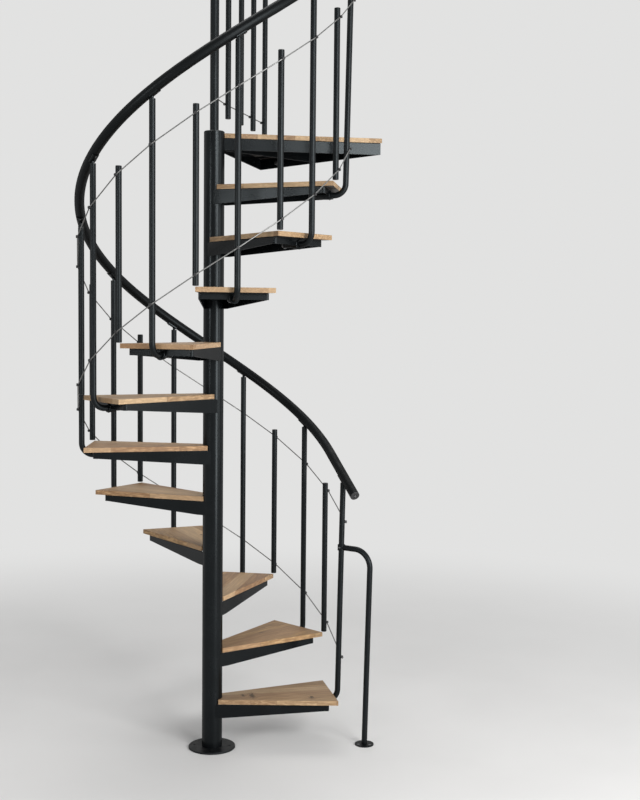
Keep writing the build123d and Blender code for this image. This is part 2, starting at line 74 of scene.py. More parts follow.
class OakTone(Enum):
    """Colours of a board's early and late wood."""

    HONEY = ((0.480, 0.305, 0.150), (0.310, 0.183, 0.083))
    BEIGE = ((0.450, 0.302, 0.168), (0.285, 0.180, 0.092))
    RUSSET = ((0.440, 0.272, 0.142), (0.270, 0.153, 0.074))

    def __init__(self, pale: Colour, dark: Colour) -> None:
        """Name the colours, and darken the late wood for the darkest fibres.

        Args:
            pale: colour of the early wood.
            dark: colour of the late wood.
        """
        self.pale, self.dark = pale, dark
        self.streak = (0.72 * dark[0], 0.70 * dark[1], 0.66 * dark[2])


class Step(Enum):
    """Arithmetic steps that the finishes use."""

    ADD = "ADD"
    TAKE = "SUBTRACT"
    TIMES = "MULTIPLY"
    FLOOR = "FLOOR"
    FRACTION = "FRACT"
    SIZE = "ABSOLUTE"
    MOST = "MAXIMUM"
    POWER = "POWER"


class Graph:
    """The nodes of one material or of the world, and the links between them."""

    MIX_FIRST, MIX_SECOND, MIX_RESULT = 6, 7, 2     # numbers of a Mix node's colour sockets

    def __init__(self, owner: bpy.types.Material | bpy.types.World) -> None:
        """Clear the owner's nodes.

        Args:
            owner: the material or world to fill.
        """
        owner.use_nodes = True
        self.owner, self.tree = owner, owner.node_tree
        self.tree.nodes.clear()

    def feed(self, target: Socket, value: Feed) -> None:
        """Link a socket to an input, or set the input's own value.

        Args:
            target: the input.
            value: a socket to link, or a plain value; a colour gets its alpha here.
        """
        if isinstance(value, Socket):
            self.tree.links.new(value, target)
        else:
            target.default_value = (*value, 1.0) if target.type == "RGBA" else value

    def node(self, kind: str, feeds: dict[str | int, Feed], **settings: object) -> bpy.types.Node:
        """Add a node.

        Args:
            kind: Blender's type name of the node, after the words that all of them share.
            feeds: what goes into its inputs, by their names or numbers.
            settings: properties to set on it.

        Returns:
            The new node.
        """
        made = self.tree.nodes.new(f"ShaderNode{kind}")
        for name, value in settings.items():
            setattr(made, name, value)
        for name, value in feeds.items():
            self.feed(made.inputs[name], value)
        return made

    def step(self, step: Step, first: Value, second: Value = 0.0) -> Socket:
        """Result of one arithmetic step on a value, and on a second one where the step has it."""
        return self.node("Math", {0: first, 1: second}, operation=step.value).outputs[0]

    def ramp(self, value: Value, low: float, high: float, start: float = 0.0, end: float = 1.0) -> Socket:
        """A value eased from the range low to high into the range start to end."""
        feeds = {"Value": value, "From Min": low, "From Max": high, "To Min": start, "To Max": end}
        return self.node("MapRange", feeds, interpolation_type="SMOOTHSTEP").outputs["Result"]

    def noise(self, place: Socket, scale: float, detail: float = 2.0, swirl: float = 0.0) -> Socket:
        """Soft noise between 0 and 1, with so many features a metre and so many finer layers."""
        feeds = {"Vector": place, "Scale": scale, "Detail": detail, "Distortion": swirl}
        return self.node("TexNoise", feeds).outputs["Fac"]

    def cloud(self, place: Socket, scale: float, detail: float, low: float = 0.3, high: float = 0.7,
              start: float = 0.0, end: float = 1.0) -> Socket:
        """Noise whose range low to high is eased into the range start to end."""
        return self.ramp(self.noise(place, scale, detail), low, high, start, end)

    def saw(self, value: Value) -> Socket:
        """How far a value's fraction is from a half, which is a half at every whole number."""
        return self.step(Step.SIZE, self.step(Step.TAKE, self.step(Step.FRACTION, value), 0.5))

    def blend(self, share: Value, first: Tint, second: Tint) -> Socket:
        """Two colours blended by the share of the second one."""
        feeds = {"Factor": share, self.MIX_FIRST: first, self.MIX_SECOND: second}
        return self.node("Mix", feeds, data_type="RGBA").outputs[self.MIX_RESULT]

    def here(self, kind: str = "Object", turn: float = 0.0) -> Socket:
        """Place on the piece, or its Normal, with the piece's own turn about Z in degrees undone."""
        feeds = {"Vector": self.node("TexCoord", {}).outputs[kind], "Angle": -math.radians(turn)}
        return self.node("VectorRotate", feeds, rotation_type="Z_AXIS").outputs[0]

    def axes(self, vector: Socket) -> Sequence[Socket]:
        """The parts of a vector along X, Y and Z."""
        return self.node("SeparateXYZ", {0: vector}).outputs

    def parts(self, colour: Socket) -> Sequence[Socket]:
        """The three parts of a colour."""
        return self.node("SeparateColor", {0: colour}).outputs

    def squeezed(self, place: Socket, across: float) -> Socket:
        """A place whose parts across the fibres count so many times."""
        feeds = {0: place, 1: (1.0, across, across)}
        return self.node("VectorMath", feeds, operation="MULTIPLY").outputs[0]

    def bump(self, height: Socket, strength: float, depth: float) -> Socket:
        """Normal of a height between 0 and 1, which is so many metres deep and counts so much."""
        feeds = {"Strength": strength, "Distance": depth, "Height": height}
        return self.node("Bump", feeds).outputs["Normal"]

    def gloss(self, level: float) -> Socket:
        """A level of gloss that fades on faces seen edge-on, as it does on a finely rough coat."""
        edge_on = self.node("LayerWeight", {"Blend": 0.5}).outputs["Facing"]
        return self.ramp(edge_on, 0.4, 0.8, level, 0.02 * level)

    def close(self, shader: Socket) -> None:
        """Show a shader on the material or in the world."""
        kind = "OutputWorld" if isinstance(self.owner, bpy.types.World) else "OutputMaterial"
        self.node(kind, {"Surface": shader})

    def surface(self, **inputs: Feed) -> bpy.types.Material:
        """Close the graph with a principled surface.

        Args:
            inputs: values of its sockets, with underscores for spaces.

        Returns:
            The graph's material.
        """
        feeds = {name.replace("_", " "): value for name, value in inputs.items()}
        self.close(self.node("BsdfPrincipled", feeds).outputs[0])
        return self.owner


@dataclass(frozen=True)
class PowderCoat:
    """Black powder coat: a faint mottle, a fine orange peel and a trace of dust on top faces."""

    name: str
    colour: Colour = (0.0026, 0.0031, 0.0035)
    mottle: Colour = (0.0042, 0.0050, 0.0056)
    roughness: float = 0.24
    gloss: float = 0.17
    unevenness: float = 0.012
    tint: Colour = (0.86, 0.96, 1.0)
    dust: Colour = (0.34, 0.33, 0.31)
    dust_share: float = 0.05
    peel: float = 400.0
    peel_strength: float = 0.25
    peel_depth: float = 0.00002
    joint_step: float = 0.0
    joint_offsets: tuple[float, ...] = ()
    joint_edges: tuple[float, float] = (0.0011, 0.0004)
    joint_colour: Colour = (0.001, 0.001, 0.001)

    def build(self) -> bpy.types.Material:
        """Make the material.

        Returns:
            The material.
        """
        graph = Graph(bpy.data.materials.new(self.name))
        here = graph.here()
        colour = graph.blend(graph.cloud(here, 9.0, 3.0, 0.35), self.colour, self.mottle)
        level = graph.ramp(graph.axes(graph.here("Normal"))["Z"], 0.6, 0.95)
        specks = graph.cloud(here, 34.0, 4.0, 0.4, 0.75, end=self.dust_share)
        colour = graph.blend(graph.step(Step.TIMES, level, specks), colour, self.dust)
        if self.joint_step:
            colour = graph.blend(self._joints(graph, here), colour, self.joint_colour)
        smooth, dull = self.roughness - self.unevenness, self.roughness + self.unevenness
        rough = graph.cloud(here, 6.0, 0.0, start=smooth, end=dull)
        normal = graph.bump(graph.noise(here, self.peel), self.peel_strength, self.peel_depth)
        return graph.surface(Base_Color=colour, Roughness=rough, Specular_IOR_Level=graph.gloss(self.gloss),
                             Specular_Tint=self.tint, Normal=normal)

    def _joints(self, graph: Graph, here: Socket) -> Value:
        """Hairlines where the column's sleeves meet the hubs.

        Args:
            graph: the graph to add to.
            here: place on the piece.

        Returns:
            1 on a line and 0 off it.
        """
        lines: Value = 0.0
        height = graph.axes(here)["Z"]
        edges = [0.5 - edge / self.joint_step for edge in self.joint_edges]
        for offset in self.joint_offsets:
            share = graph.step(Step.TIMES, graph.step(Step.ADD, height, offset), 1.0 / self.joint_step)
            lines = graph.step(Step.MOST, graph.ramp(graph.saw(share), *edges), lines)
        return lines


@dataclass(frozen=True)
class PlainFinish:
    """A plain finish: a cloud in its colour and in its roughness, and a fine grain.

    The cloud holds its scale and the range of the noise that shows, the dullness its scale and
    what it takes and adds, and the grain its scale, strength and depth.
    """

    name: str
    colour: Colour
    roughness: float
    shade: float
    cloud: tuple[float, float, float]
    dullness: tuple[float, float, float]
    grain: tuple[float, float, float]
    sheen: tuple[str, float]

    def build(self) -> bpy.types.Material:
        """Make the material.

        Returns:
            The material.
        """
        graph = Graph(bpy.data.materials.new(self.name))
        here = graph.here()
        scale, low, high = self.cloud
        shaded = tuple(self.shade * part for part in self.colour)
        colour = graph.blend(graph.cloud(here, scale, 3.0, low, high), self.colour, shaded)
        scale, less, more = self.dullness
        rough = graph.cloud(here, scale, 2.0, start=self.roughness - less, end=self.roughness + more)
        scale, strength, depth = self.grain
        normal = graph.bump(graph.noise(here, scale), strength, depth)
        socket, level = self.sheen
        return graph.surface(Base_Color=colour, Roughness=rough, Normal=normal, **{socket: level})


@dataclass(frozen=True)
class BareMetal(PlainFinish):
    """Bare or zinc-plated metal, a little uneven."""

    roughness: float = 0.34
    shade: float = 0.7
    cloud: tuple[float, float, float] = (160.0, 0.3, 0.7)
    dullness: tuple[float, float, float] = (420.0, 0.07, 0.1)
    grain: tuple[float, float, float] = (1500.0, 0.2, 0.00005)
    sheen: tuple[str, float] = ("Metallic", 0.9)


@dataclass(frozen=True)
class MouldedPlastic(PlainFinish):
    """Matt black plastic with a spark-eroded grain."""

    colour: Colour = (0.014, 0.014, 0.015)
    roughness: float = 0.5
    shade: float = 1.7
    cloud: tuple[float, float, float] = (45.0, 0.35, 0.75)
    dullness: tuple[float, float, float] = (300.0, 0.06, 0.08)
    grain: tuple[float, float, float] = (1300.0, 0.35, 0.00008)
    sheen: tuple[str, float] = ("Specular_IOR_Level", 0.4)


class Finish(Enum):
    """The stair's finishes but for the oak, each with the record's slot that it fills."""

    COAT = (PowderCoat("powder_coat"), Slot.STEEL)
    PLATE = (PowderCoat("plate_coat", roughness=0.45, gloss=0.24), Slot.STEEL)
    TUBE = (PowderCoat("tube_coat", roughness=0.38, gloss=0.19), Slot.STEEL)
    RAIL = (PowderCoat("rail_coat", (0.0024, 0.0026, 0.0028), (0.0034, 0.0037, 0.0040), 0.40, 0.12),
            Slot.RAIL)
    ZINC = (BareMetal("dark_zinc", (0.16, 0.16, 0.165)), Slot.ZINC)
    WIRE = (BareMetal("wire_strands", (0.24, 0.24, 0.236), 0.45), Slot.ROPE)
    PLASTIC = (MouldedPlastic("moulded_black"), Slot.PLASTIC)
    RUBBER = (MouldedPlastic("seal_rubber", (0.0045, 0.0045, 0.0045), 0.8), Slot.PLASTIC)

    def __init__(self, recipe: PowderCoat | PlainFinish, slot: Slot) -> None:
        """Name the two parts of the finish.

        Args:
            recipe: what makes its material.
            slot: its slot in the record.
        """
        self.recipe, self.slot = recipe, slot

    @cached_property
    def material(self) -> bpy.types.Material:
        """The finish's material, made when it is first asked for."""
        return self.recipe.build()


@dataclass(frozen=True)
class Knot:
    """A knot in a board, with its place out from the column and to the side of the middle line."""

    out: float
    aside: float
    radius: float
    along: float = 0.55
    across: float = 1.0


@dataclass(frozen=True)
class OakBoard:
    """Matt oiled oak, glued up from staves that run outwards from the column, with painted shade on its
    downward faces.
    """

    name: str
    turn: float
    seed: float
    tone: OakTone
    stave: float
    knots: tuple[Knot, ...] = ()
    glue_line: float = 0.0006
    glue: Colour = (0.10, 0.06, 0.035)
    # painted shade: near-black brown that the faces looking down are blended towards, standing in for the shade
    # under the boards
    underside_shade: Colour = (0.022, 0.016, 0.012)
    red_stave: Colour = (0.22, 0.125, 0.07)
    pale_stave: Colour = (0.60, 0.44, 0.27)
    pore: Colour = (0.13, 0.075, 0.04)
    knot: Colour = (0.050, 0.032, 0.018)
    grain_depth: float = 0.0004
    gloss: float = 0.35

    def build(self) -> bpy.types.Material:
        """Make the material.

        Returns:
            The material.
        """
        graph = Graph(bpy.data.materials.new(self.name))
        here = graph.here(turn=self.turn)
        knot_dark, aside = self._knots(graph, here)
        lane = graph.step(Step.ADD, graph.step(Step.TIMES, aside, 1.0 / self.stave), self.seed * 0.37)
        number = graph.step(Step.ADD, graph.step(Step.FLOOR, lane), self.seed * 7.31)
        chance = graph.node("TexWhiteNoise", {"W": number}, noise_dimensions="1D").outputs["Color"]
        colour, height = self._grain(graph, self._in_stave(graph, here, aside, chance), chance, knot_dark)
        seam = graph.ramp(graph.saw(lane), 0.5 - self.glue_line / self.stave, 0.5, 0.0, 0.45)
        colour = graph.blend(seam, colour, self.glue)
        colour = graph.blend(self._end_grain(graph, chance), colour, self.tone.dark)
        # Painted shade: faces that look down are blended towards a near-black brown, for the shade under the
        # boards; it is not the wood's own colour.
        underside = graph.ramp(graph.axes(graph.here("Normal"))["Z"], -0.9, -0.6, 1.0, 0.0)
        colour = graph.blend(underside, colour, self.underside_shade)
        return graph.surface(Base_Color=colour, Roughness=graph.ramp(height, 0.2, 0.8, 0.62, 0.5),
                             Specular_IOR_Level=self.gloss, Normal=graph.bump(height, 0.5, self.grain_depth))

    def _knots(self, graph: Graph, here: Socket) -> tuple[Value, Socket]:
        """Darken the knots and bend the grain round them.

        Args:
            graph: the graph to add to.
            here: place on the board.

        Returns:
            The knots' darkness, and the place to the side of the middle line, bent round them.
        """
        dark: Value = 0.0
        out, aside, _ = graph.axes(here)
        bent = aside
        ragged = graph.ramp(graph.noise(here, 85.0, 4.0, 0.5), 0.3, 0.7, 0.45, 1.7)
        for knot in self.knots:
            gap_out = graph.step(Step.TIMES, graph.step(Step.TAKE, out, knot.out), knot.along)
            gap_side = graph.step(Step.TAKE, aside, knot.aside)
            gap_across = graph.step(Step.TIMES, gap_side, knot.across)
            square = graph.step(Step.ADD, graph.step(Step.TIMES, gap_out, gap_out),
                                graph.step(Step.TIMES, gap_across, gap_across))
            away = graph.step(Step.POWER, square, 0.5)
            torn = graph.step(Step.TIMES, away, ragged)
            core, rim = knot.radius * 0.35, knot.radius * 1.2
            dark = graph.step(Step.MOST, dark, graph.ramp(torn, core, rim, 1.0, 0.0))
            pull = graph.ramp(away, 0.0, knot.radius * 3.2, 0.55, 0.0)
            bent = graph.step(Step.TAKE, bent, graph.step(Step.TIMES, gap_side, pull))
        return dark, bent

    @staticmethod
    def _in_stave(graph: Graph, here: Socket, aside: Socket, chance: Socket) -> Socket:
        """Place in the wood of a stave, which differs from its neighbours'.

        Args:
            graph: the graph to add to.
            here: place on the board.
            aside: place to the side, bent round the knots.
            chance: the stave's random numbers.

        Returns:
            The place.
        """
        out, _, up = graph.axes(here)
        bent = graph.node("CombineXYZ", {0: out, 1: aside, 2: up}).outputs[0]
        return graph.node("VectorMath", {0: chance, 1: (5.0, 3.0, 4.0), 2: bent},
                          operation="MULTIPLY_ADD").outputs[0]

    def _grain(self, graph: Graph, here: Socket, chance: Socket, knot_dark: Value) -> tuple[Socket, Socket]:
        """Growth rings, pores and tone of the staves.

        Args:
            graph: the graph to add to.
            here: place in the stave's wood.
            chance: the stave's random numbers.
            knot_dark: the knots' darkness.

        Returns:
            The colour, and the height of the grain between 0 and 1.
        """
        rings = graph.noise(graph.squeezed(here, 9.0), 2.6, 3.0, 0.6)
        bands = graph.saw(graph.step(Step.TIMES, rings, 7.0))
        along = graph.squeezed(here, 20.0)
        fibre = graph.noise(along, 7.0, 6.0, 0.2)
        pores = graph.cloud(along, 62.0, 2.0, 0.60, 0.70)
        red, pale, _ = graph.parts(chance)
        wood: Tint = self.tone.pale
        for share, colour in ((graph.ramp(bands, 0.1, 0.48, 0.0, 0.85), self.tone.dark),
                              (graph.ramp(fibre, 0.36, 0.60, 0.0, 0.8), self.tone.streak),
                              (graph.ramp(red, 0.62, 1.0, 0.0, 0.42), self.red_stave),
                              (graph.ramp(pale, 0.5, 1.0, 0.0, 0.4), self.pale_stave),
                              (graph.step(Step.TIMES, pores, 0.35), self.pore),
                              (graph.step(Step.TIMES, knot_dark, 0.9), self.knot)):
            wood = graph.blend(share, wood, colour)
        return wood, graph.step(Step.TAKE, fibre, graph.step(Step.TIMES, pores, 0.4))

    def _end_grain(self, graph: Graph, chance: Socket) -> Socket:
        """Share of end grain, on the faces that look along the staves.

        Args:
            graph: the graph to add to.
            chance: the stave's random numbers.

        Returns:
            The share.
        """
        outward = graph.step(Step.SIZE, graph.axes(graph.here("Normal", self.turn))["X"])
        depth = graph.ramp(graph.parts(chance)[2], 0.0, 1.0, 0.15, 0.6)
        return graph.step(Step.TIMES, graph.ramp(outward, 0.8, 0.98), depth)


def polar(reach: float, azimuth: float, height: float = 0.0) -> Vector:
    """Point at a distance and direction from the column, at a height."""
    angle = math.radians(azimuth)
    return Vector((reach * math.cos(angle), reach * math.sin(angle), height))


def circle(radius: float, height: float, sides: int) -> list[Vector]:
    """Corners of a regular outline round Z, at a height."""
    angles = (math.tau * side / sides for side in range(sides))
    return [Vector((radius * math.cos(angle), radius * math.sin(angle), height)) for angle in angles]


def facing(point: Vector, along: Vector) -> Matrix:
    """Seat at a point whose Z runs along a direction."""
    return Matrix.Translation(point) @ along.to_track_quat("Z", "Y").to_matrix().to_4x4()


@dataclass(frozen=True)
class Rhythm:
    """What repeats up the flight: the rise, the turn and the circle of the balusters."""

    rise: float = 0.225
    turn: float = 34.0
    treads: int = 11
    first: float = -391.0
    reach: float = 0.571
    flare: float = 0.016
    leg_drop: float = 0.045
    long_top: float = 0.94399
    short_lead: float = 16.3
    tube: float = 0.0125

    @property
    def numbers(self) -> range:
        """Numbers of the treads from the lowest up."""
        return range(1, self.treads + 1)

    @property
    def landing_top(self) -> float:
        """Height of the landing's board."""
        return self.rise * (self.treads + 1)

    def azimuth(self, tread: int) -> float:
        """Direction of a tread's middle line."""
        return self.first + self.turn * (tread - 1)

    def top(self, tread: int) -> float:
        """Height of a tread's board."""
        return self.rise * tread

    def seat(self, tread: int) -> Matrix:
        """Place of a tread: its middle line along X and its top at height 0."""
        turned = Matrix.Rotation(math.radians(self.azimuth(tread)), 4, "Z")
        return Matrix.Translation((0, 0, self.top(tread))) @ turned

    def climb(self, azimuth: float) -> float:
        """Height of the line through the treads' tops in a direction."""
        return self.rise * (1 + (azimuth - self.first) / self.turn)

    def long_baluster(self, tread: int, height: float) -> Vector:
        """Point on a long baluster's axis.

        Args:
            tread: its tread.
            height: height above the tread.

        Returns:
            The point.
        """
        lean = self.flare if tread in (1, self.treads) else 0.0
        share = (height + self.leg_drop) / (self.long_top + self.leg_drop)
        return polar(self.reach + lean * share, self.azimuth(tread), self.top(tread) + height)

    def short_baluster(self, tread: int, height: float, own: bool = False) -> Vector:
        """Point on a short baluster's axis.

        Args:
            tread: the tread whose nosing corner it stands beside.
            height: height above the line of the flight, or above the tread.
            own: whether the height counts from the tread's top.

        Returns:
            The point.
        """
        azimuth = self.azimuth(tread) - self.short_lead
        base = self.top(tread) if own else self.climb(azimuth)
        return polar(self.reach, azimuth, base + height)

    def crossings(self, height: float) -> list[Vector]:
        """Where a cable of the flight passes the balusters' axes, from the lowest up.

        Args:
            height: the cable's height above the line of the flight.

        Returns:
            The points.
        """
        points = [self.long_baluster(1, height)]
        for tread in self.numbers[1:]:
            points += [self.short_baluster(tread, height), self.long_baluster(tread, height)]
        return points


def stand(name: str, data: bpy.types.ID) -> bpy.types.Object:
    """Put a mesh, a lamp or the camera into the scene.

    Args:
        name: name of the object.
        data: what it shows.

    Returns:
        The object.
    """
    made = bpy.data.objects.new(name, data)
    bpy.context.scene.collection.objects.link(made)
    return made


def dress(material: bpy.types.Material, *nodes: str) -> None:
    """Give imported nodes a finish.

    Args:
        material: the finish.
        nodes: names of the nodes.
    """
    for name in nodes:
        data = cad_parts[name].data
        data.materials.clear()
        data.materials.append(material)
        log.info("%s: %s", name, material.name)


class Shape:
    """A mesh while it is made, from turned and swept forms."""

    def __init__(self) -> None:
        """Start with nothing."""
        self.mesh = bmesh.new()

    def turned(self, profile: Sequence[tuple[float, float]], seat: Matrix, sides: int) -> None:
        """Add a form turned about its seat's Z.

        Args:
            profile: (radius, height) points; a radius of 0 closes the form.
            seat: where the form sits.
            sides: number of sides.
        """
        rows = [circle(radius, height, sides if radius > 0 else 1) for radius, height in profile]
        self._skin(self._points([[seat @ point for point in row] for row in rows]))

    def swept(self, rows: Sequence[Sequence[Vector]]) -> None:
        """Add a form through closed outlines of as many points each, with flat ends.

        Args:
            rows: the outlines in order.
        """
        made = self._points(rows)
        self._skin(made)
        self.mesh.faces.new(list(reversed(made[0])))
        self.mesh.faces.new(made[-1])

    def ring(self, rows: Sequence[Sequence[Vector]]) -> None:
        """Add a closed ring through closed sections of as many points each."""
        made = self._points(rows)
        self._skin([*made, made[0]])

    def hexagon(self, across: float, depth: float, chamfer: float, seat: Matrix) -> None:
        """Add a bolt's hexagon head.

        Args:
            across: distance between opposite sides.
            depth: height of the head.
            chamfer: height over which its top is drawn in.
            seat: where it sits.
        """
        corner = across / 2 / math.cos(math.pi / 6)
        outline = ((corner, 0.0), (corner, depth - chamfer), (corner - chamfer, depth))
        self.swept([[seat @ point for point in circle(radius, height, 6)] for radius, height in outline])

    def _points(self, rows: Sequence[Sequence[Vector]]) -> list[list[bmesh.types.BMVert]]:
        """Points of the mesh at the given places, row by row."""
        return [[self.mesh.verts.new(point) for point in row] for row in rows]

    def _skin(self, rows: Sequence[Sequence[bmesh.types.BMVert]]) -> None:
        """Join neighbouring rows of points with faces.

        Args:
            rows: the rows; a row of one point is a tip.
        """
        for low, high in zip(rows, rows[1:]):
            count = max(len(low), len(high))
            for index in range(count):
                ahead = (index + 1) % count
                if len(low) == 1:
                    self.mesh.faces.new((low[0], high[index], high[ahead]))
                elif len(high) == 1:
                    self.mesh.faces.new((low[index], low[ahead], high[0]))
                else:
                    self.mesh.faces.new((low[index], low[ahead], high[ahead], high[index]))

    def data(self, name: str) -> bpy.types.Mesh:
        """Hand the form over as a mesh of its own.

        Args:
            name: name of the mesh.

        Returns:
            The mesh.
        """
        data = bpy.data.meshes.new(name)
        self.mesh.to_mesh(data)
        self.mesh.free()
        return data

    def place(self, name: str, finish: Finish, sharp: float = 35.0) -> bpy.types.Object:
        """Make the object, smooth it and let it ride on the stair.

        Args:
            name: the piece's name.
            finish: its finish.
            sharp: angle in degrees above which an edge stays sharp.

        Returns:
            The object.
        """
        bmesh.ops.recalc_face_normals(self.mesh, faces=self.mesh.faces)
        data = self.data(name)
        data.shade_smooth()
        data.set_sharp_from_angle(angle=math.radians(sharp))
        data.materials.append(finish.material)
        piece, slot = stand(name, data), finish.slot
        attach(piece, "root")
        log.info("%s: %d faces", name, len(data.polygons))
        return piece


@dataclass
class Screws:
    """Round screw heads with a hexagon socket, gathered into one piece."""

    radius: float = 0.0045
    height: float = 0.0026
    socket: float = 0.0042
    sides: int = 18
    sharp: float = 40.0
    heads: Shape = field(default_factory=Shape)

    def add(self, seat: Matrix) -> None:
        """Add a head on a seat whose Z points out of the surface.

        Args:
            seat: where the head sits.
        """
        r, h, s = self.radius, self.height, self.socket / 2
        profile = [(0, -0.2 * h), (r, -0.2 * h), (r, 0.35 * h), (0.9 * r, 0.75 * h), (0.68 * r, h),
                   (s * 1.1, h), (s, 0.9 * h), (s * 0.95, 0.25 * h), (0, 0.2 * h)]
        self.heads.turned(profile, seat, self.sides)

    def ring(self, middle: Vector, radius: float, count: int, start: float = 0.0) -> None:
        """Add heads round a level plate.

        Args:
            middle: middle of the circle.
            radius: radius of the circle.
            count: number of heads.
            start: direction of the first one.
        """
        for number in range(count):
            self.add(Matrix.Translation(middle + polar(radius, start + 360 * number / count)))

    def place(self, name: str, finish: Finish = Finish.ZINC) -> None:
        """Make the piece."""
        self.heads.place(name, finish, self.sharp)


@dataclass
class Plugs:
    """Domed plugs in the ends of upright tubes, gathered into one piece."""

    tube: float
    height: float = 0.0026
    skirt: float = 0.001
    sides: int = 20
    domes: Shape = field(default_factory=Shape)

    def add(self, foot: Vector, top: Vector) -> None:
        """Plug both ends of a tube.

        Args:
            foot: middle of its lower end.
            top: middle of its upper end.
        """
        r, h = self.tube, self.height
        profile = [(0, -self.skirt), (0.8 * r, -self.skirt), (0.98 * r, 0), (0.98 * r, 0.45 * h),
                   (0.88 * r, 0.8 * h), (0.5 * r, h), (0, h)]
        for end, out in ((top, UP), (foot, -UP)):
            self.domes.turned(profile, facing(end, out), self.sides)

    def place(self, name: str) -> None:
        """Make the piece."""
        self.domes.place(name, Finish.PLASTIC)


@dataclass(frozen=True)
class Plan:
    """Plan of a steel frame below a board: symmetric about X, with its heel at the column."""

    reach: float
    heel: float
    slope: float
    corner: float = 0.0
    corner_steps: int = 6

    def edge(self, out: float, inset: float) -> float:
        """Distance of the plan's side from X, drawn in by an inset."""
        return self.heel + out * self.slope - inset * math.hypot(1, self.slope)

    def line(self, start: float, inset: float) -> list[Vector]:
        """Outline from the column along one side, round the far end and back along the other.

        Args:
            start: distance from the column's axis at which it starts and ends.
            inset: how far it is drawn in.

        Returns:
            Its points at height 0.
        """
        half = [Vector((start, self.edge(start, inset), 0))]
        if self.corner > inset:
            out, radius = self.reach - self.corner, self.corner - inset
            aside = self.edge(out, self.corner)
            top = math.pi / 2 + math.atan(self.slope)
            for step in range(self.corner_steps + 1):
                angle = top * (1 - step / self.corner_steps)
                half.append(Vector((out + radius * math.cos(angle), aside + radius * math.sin(angle), 0)))
        else:
            half.append(Vector((self.reach - inset, self.edge(self.reach - inset, inset), 0)))
        return half + [Vector((point.x, -point.y, 0)) for point in reversed(half)]


@dataclass(frozen=True)
class Seal:
    """A black strip between a board and the upper edge of the steel below it."""

    start: float
    outer: float
    inner: float
    drop: float = 0.0229
    board: float = 0.020
    gap: float = 0.0001

    def add(self, seals: Shape, plan: Plan, seat: Matrix) -> None:
        """Add the strip of one board.

        Args:
            seals: the piece to add to.
            plan: plan of the steel.
            seat: where the board sits, with its top at height 0.
        """
        low, high = -self.drop, -self.board - self.gap
        rows = []
        for out, into in zip(plan.line(self.start, self.outer), plan.line(self.start, self.inner)):
            section = ((out, high), (into, high), (into, low), (out, low))
            rows.append([seat @ (point + UP * height) for point, height in section])
        seals.swept(rows)


@dataclass
class Column:
    """The base plate, the sleeves between the hubs and the cap."""

    rhythm: Rhythm
    plate: float = 0.008
    plate_edge: float = 0.0015
    edge_steps: int = 2
    edge_angle: float = 40.0
    anchors: int = 4
    anchor_circle: float = 0.078
    anchor_start: float = 45.0
    hub: float = 0.058
    hub_below: float = 0.023

    def build(self) -> None:
        """Dress the column and set countersunk anchors in its plate."""
        joints = (self.hub_below, self.hub_below + self.hub)
        lined = PowderCoat("powder_coat_sleeves", joint_step=self.rhythm.rise, joint_offsets=joints)
        dress(lined.build(), "column_sleeves")
        dress(Finish.COAT.material, "column_core", "column_cap")
        dress(Finish.PLATE.material, "base_plate")
        self._ease_plate()
        heads = Screws(radius=0.0064, height=0.0012, socket=0.006)
        heads.ring(UP * (self.plate - heads.height), self.anchor_circle, self.anchors, self.anchor_start)
        heads.place("anchor_screws", Finish.COAT)

    def _ease_plate(self) -> None:
        """Round the plate's sharp edges a little."""
        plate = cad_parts["base_plate"]
        plate.modifiers.new("weld", "WELD").merge_threshold = 1e-6
        bevel = plate.modifiers.new("edges", "BEVEL")
        bevel.width, bevel.segments = self.plate_edge, self.edge_steps
        bevel.limit_method, bevel.angle_limit = "ANGLE", math.radians(self.edge_angle)
        plate.modifiers.new("normals", "WEIGHTED_NORMAL")


